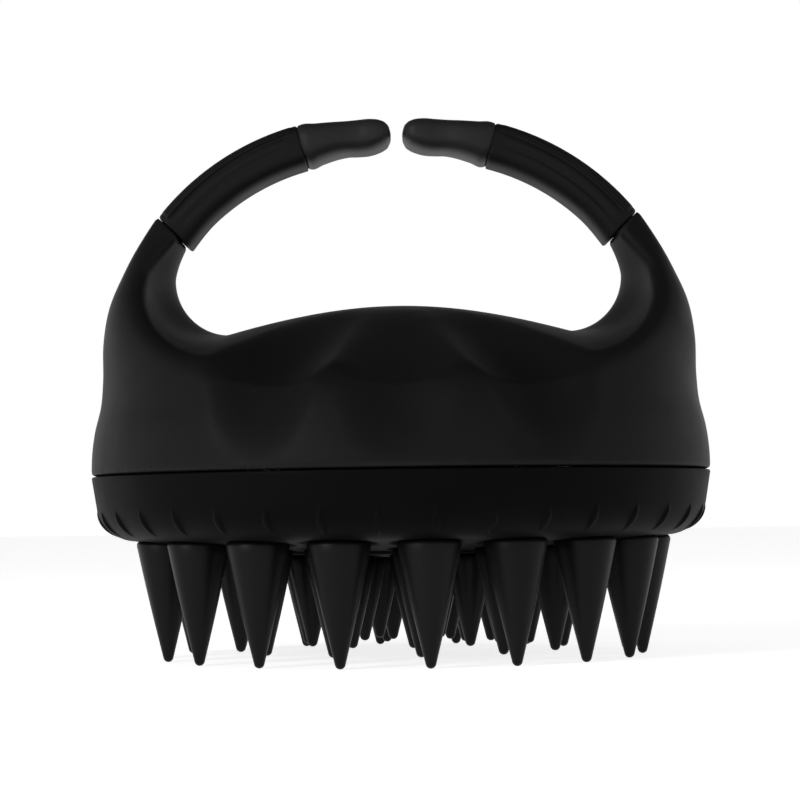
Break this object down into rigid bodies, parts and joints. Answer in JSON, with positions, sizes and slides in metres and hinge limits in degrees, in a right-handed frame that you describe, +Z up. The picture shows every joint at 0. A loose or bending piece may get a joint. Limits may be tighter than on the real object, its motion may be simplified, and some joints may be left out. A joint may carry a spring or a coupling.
{
  "type": "scalp massager brush",
  "caption": "Round hand-held scalp massager with pointed teeth under a moulded shell and two springy arms that form an open handle.",
  "frame": {"origin": "on the centre line, level with the tips of the outer ring of teeth", "axes": "+Z up out of the handle, X across the two arms, -Y the front with the finger scoops"},
  "size_m": [0.096, 0.096, 0.0839],
  "materials": {
    "shell": "satin moulded black",
    "pad": "soft satin black",
    "teeth": "soft satin black",
    "carrier": "plain moulded black, hidden",
    "screws": "zinc plated, hidden",
    "spine": "plain moulded black, hidden",
    "sleeve": "fine matt black grip",
    "cap": "semi-gloss moulded black"
  },
  "bodies": {
    "root": {"body_shell": "shell", "bristle_pad": "pad", "pad_carrier": "carrier", "carrier_screws": "screws", "tooth_ring1_01": "teeth", "tooth_ring1_02": "teeth", "tooth_ring1_03": "teeth", "tooth_ring1_04": "teeth", "tooth_ring1_05": "teeth", "tooth_ring1_06": "teeth", "tooth_ring1_07": "teeth", "tooth_ring1_08": "teeth", "tooth_ring1_09": "teeth", "tooth_ring1_10": "teeth", "tooth_ring1_11": "teeth", "tooth_ring1_12": "teeth", "tooth_ring1_13": "teeth", "tooth_ring1_14": "teeth", "tooth_ring1_15": "teeth", "tooth_ring1_16": "teeth", "tooth_ring1_17": "teeth", "tooth_ring1_18": "teeth", "tooth_ring2_01": "teeth", "tooth_ring2_02": "teeth", "tooth_ring2_03": "teeth", "tooth_ring2_04": "teeth", "tooth_ring2_05": "teeth", "tooth_ring2_06": "teeth", "tooth_ring2_07": "teeth", "tooth_ring2_08": "teeth", "tooth_ring2_09": "teeth", "tooth_ring2_10": "teeth", "tooth_ring2_11": "teeth", "tooth_ring2_12": "teeth", "tooth_ring3_01": "teeth", "tooth_ring3_02": "teeth", "tooth_ring3_03": "teeth", "tooth_ring3_04": "teeth", "tooth_ring3_05": "teeth", "tooth_ring3_06": "teeth", "tooth_ring3_07": "teeth", "tooth_ring3_08": "teeth", "tooth_ring3_09": "teeth", "tooth_ring3_10": "teeth", "tooth_ring4_01": "teeth", "tooth_ring4_02": "teeth", "tooth_ring4_03": "teeth", "tooth_ring4_04": "teeth"},
    "left_arm": {"left_arm_spine": "spine", "left_grip_sleeve": "sleeve", "left_tip_cap": "cap"},
    "right_arm": {"right_arm_spine": "spine", "right_grip_sleeve": "sleeve", "right_tip_cap": "cap"}
  },
  "joints": [
    {"name": "left_arm_flex", "type": "hinge", "parent": "root", "child": "left_arm", "pos_m": [-0.03716, 0, 0.06871], "axis": [0, -1, 0], "range_deg": [-2, 12], "stiffness_Nm_per_rad": 0.08},
    {"name": "right_arm_flex", "type": "hinge", "parent": "root", "child": "right_arm", "pos_m": [0.03716, 0, 0.06871], "axis": [0, 1, 0], "range_deg": [-2, 12], "stiffness_Nm_per_rad": 0.08}
  ]
}
